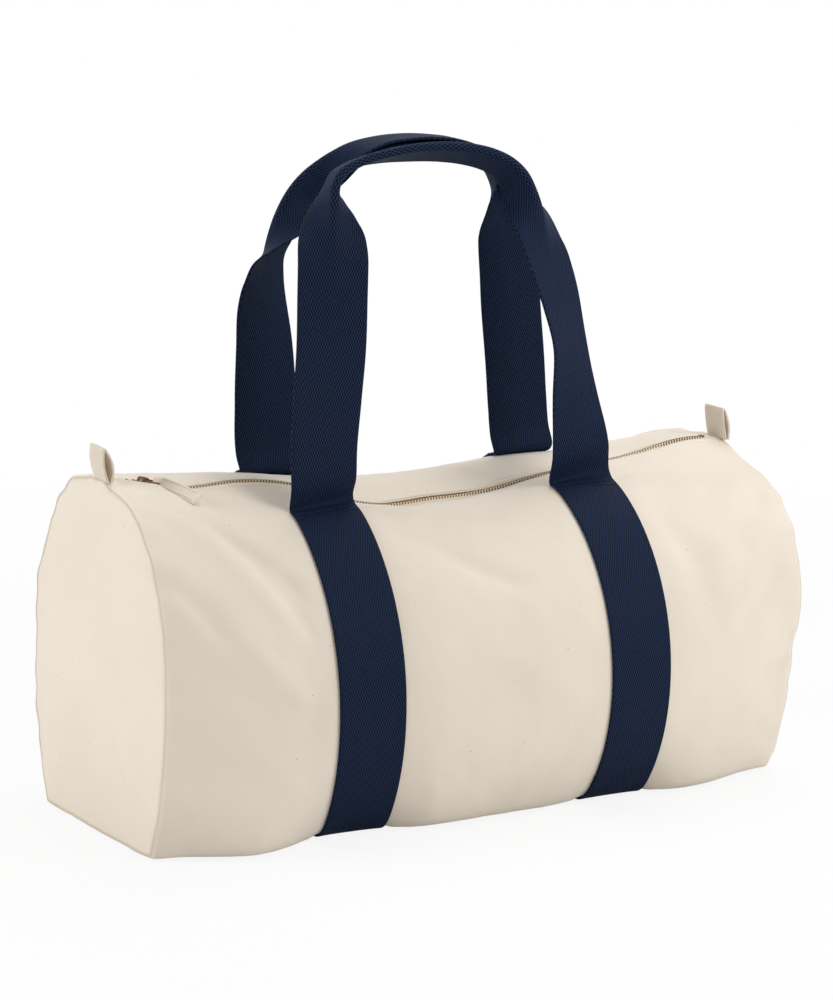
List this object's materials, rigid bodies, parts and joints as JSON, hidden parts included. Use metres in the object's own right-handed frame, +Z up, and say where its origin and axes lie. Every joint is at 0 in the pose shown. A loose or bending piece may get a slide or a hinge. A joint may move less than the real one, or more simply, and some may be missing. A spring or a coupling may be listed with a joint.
{
  "type": "barrel bag",
  "caption": "Soft cylindrical canvas carry bag with a zipped top, webbing body straps and grab handles, and a small fabric loop at each end.",
  "frame": {"origin": "on the floor under the middle of the bag", "axes": "+X along the barrel towards the closed end of the zip's travel, -Y the front, +Z up"},
  "size_m": [0.5278, 0.261, 0.4795],
  "materials": {
    "canvas": "matte plain weave",
    "webbing": "matte ribbed weave",
    "tape": "matte woven tape",
    "binding": "matte folded tape",
    "brass": "darkened, satin"
  },
  "bodies": {
    "bag": {"body_panel": "canvas", "left_end_panel": "canvas", "right_end_panel": "canvas", "left_seam_binding": "binding", "right_seam_binding": "binding", "left_strap": "webbing", "right_strap": "webbing", "left_end_loop": "canvas", "right_end_loop": "canvas", "zip_bottom_stop": "brass"},
    "front_flap": {"front_top_panel": "canvas", "front_left_strap_top": "webbing", "front_right_strap_top": "webbing", "front_zip_tape": "tape", "front_zip_teeth": "brass", "front_top_stop": "brass"},
    "rear_flap": {"rear_top_panel": "canvas", "rear_left_strap_top": "webbing", "rear_right_strap_top": "webbing", "rear_zip_tape": "tape", "rear_zip_teeth": "brass", "rear_top_stop": "brass"},
    "front_handle": {"front_handle": "webbing"},
    "rear_handle": {"rear_handle": "webbing"},
    "slider": {"zip_slider": "brass"},
    "puller": {"pull_ring": "brass"},
    "pull_tab": {"pull_tab": "canvas"}
  },
  "joints": [
    {"name": "front_flap_open", "type": "hinge", "parent": "bag", "child": "front_flap", "pos_m": [0, -0.1305, 0.098], "axis": [1, 0, 0], "range_deg": [0, 30]},
    {"name": "rear_flap_open", "type": "hinge", "parent": "bag", "child": "rear_flap", "pos_m": [0, 0.1305, 0.098], "axis": [-1, 0, 0], "range_deg": [0, 30]},
    {"name": "slider_run", "type": "hinge", "parent": "bag", "child": "slider", "pos_m": [0, 0, 1.08109], "axis": [0, -1, 0], "range_deg": [0, 27.29]},
    {"name": "front_handle_swing", "type": "hinge", "parent": "front_flap", "child": "front_handle", "pos_m": [0, -0.05469, 0.22897], "axis": [1, 0, 0], "range_deg": [0, 110]},
    {"name": "rear_handle_swing", "type": "hinge", "parent": "rear_flap", "child": "rear_handle", "pos_m": [0, 0.05469, 0.22897], "axis": [-1, 0, 0], "range_deg": [0, 110]},
    {"name": "puller_swing", "type": "hinge", "parent": "slider", "child": "puller", "pos_m": [-0.22102, 0, 0.25071], "axis": [0, -1, 0], "range_deg": [0, 90]},
    {"name": "pull_tab_swing", "type": "hinge", "parent": "puller", "child": "pull_tab", "pos_m": [-0.21155, 0, 0.24819], "axis": [0, -1, 0], "range_deg": [0, 25]}
  ],
  "couplings": [
    {"joint": "rear_flap_open", "follows": "front_flap_open", "ratio": 1},
    {"joint": "slider_run", "follows": "front_flap_open", "ratio": 0.9094}
  ]
}
